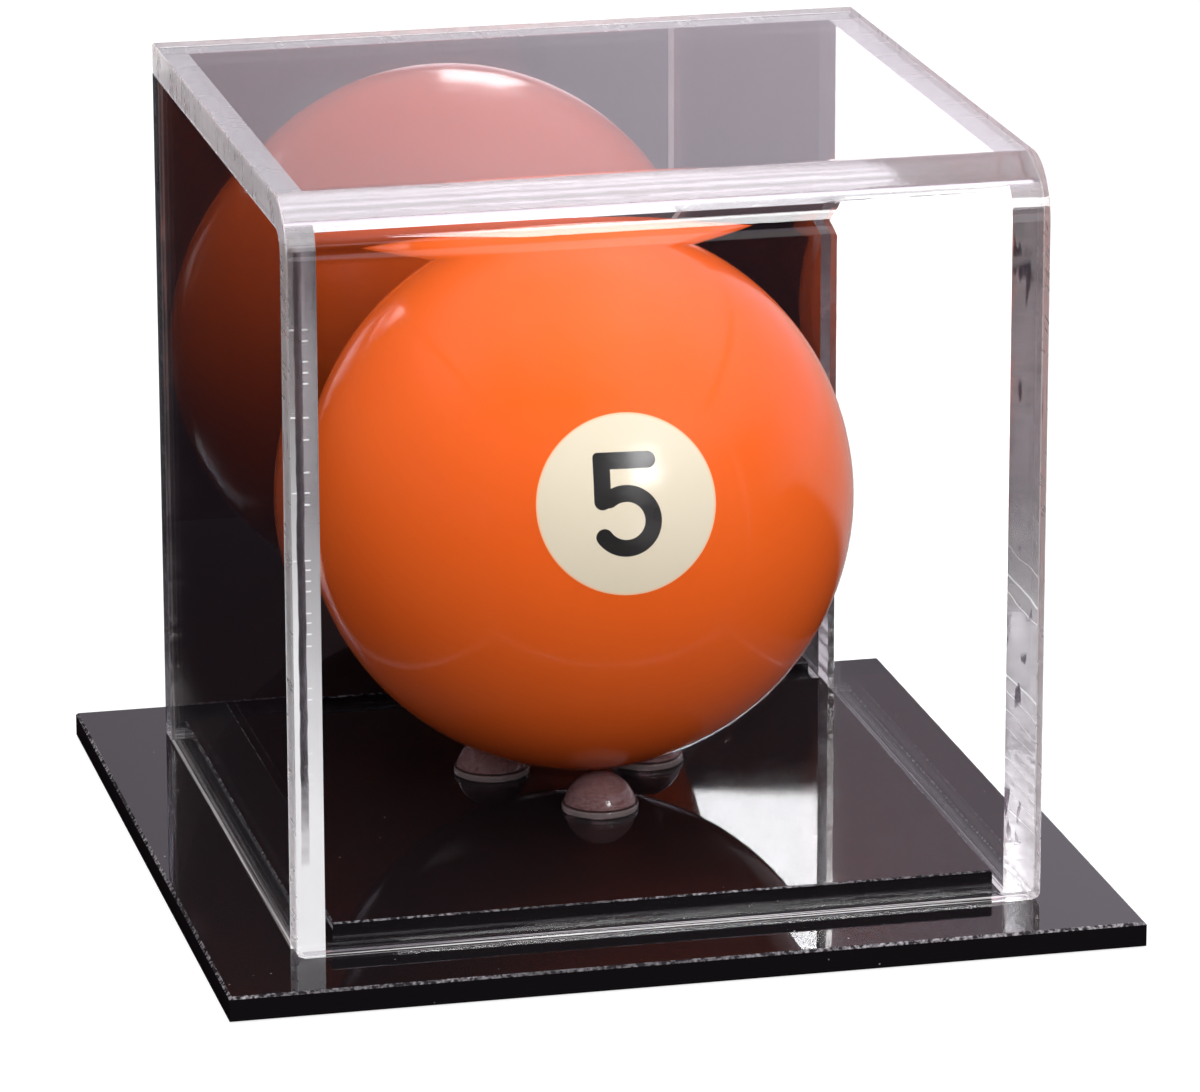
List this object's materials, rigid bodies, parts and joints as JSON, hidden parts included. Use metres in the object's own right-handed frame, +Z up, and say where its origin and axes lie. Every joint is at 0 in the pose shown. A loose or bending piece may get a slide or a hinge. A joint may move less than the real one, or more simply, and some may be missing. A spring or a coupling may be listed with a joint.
{
  "type": "pool ball display case",
  "caption": "Clear box cover with a bent front and top and a mirror back, lifting off a black base with a riser and soft bumpers that carry one numbered pool ball.",
  "frame": {"origin": "middle of the base plate's underside", "axes": "+Z up, front sheet of the cover towards -Y, mirror back towards +Y, +X to the right seen from the front"},
  "size_m": [0.093, 0.093, 0.0787],
  "materials": {
    "black_acrylic": "polished",
    "clear_acrylic": "polished, flame-clear faces and sawn edges",
    "clear_bumper": "soft gloss",
    "mirror": "silvered front, black painted back",
    "ball_orange": "polished",
    "ball_ivory": "polished",
    "ball_black": "polished"
  },
  "bodies": {
    "base": {"base_plate": "black_acrylic", "riser_plate": "black_acrylic", "bumper_front": "clear_bumper", "bumper_rear_right": "clear_bumper", "bumper_rear_left": "clear_bumper"},
    "ball": {"pool_ball": "ball_orange", "number_disc_front": "ball_ivory", "number_disc_rear": "ball_ivory", "numeral_front": "ball_black", "numeral_rear": "ball_black"},
    "cover": {"cover_front_top_sheet": "clear_acrylic", "cover_left_panel": "clear_acrylic", "cover_right_panel": "clear_acrylic", "mirror_panel": "clear_acrylic", "mirror_backing": "mirror"}
  },
  "joints": [
    {"name": "ball_lift", "type": "slide", "parent": "base", "child": "ball", "axis": [0, 0, 1], "range_m": [0, 0.08]},
    {"name": "cover_lift", "type": "slide", "parent": "ball", "child": "cover", "axis": [0, 0, 1], "range_m": [0, 0.09]}
  ]
}
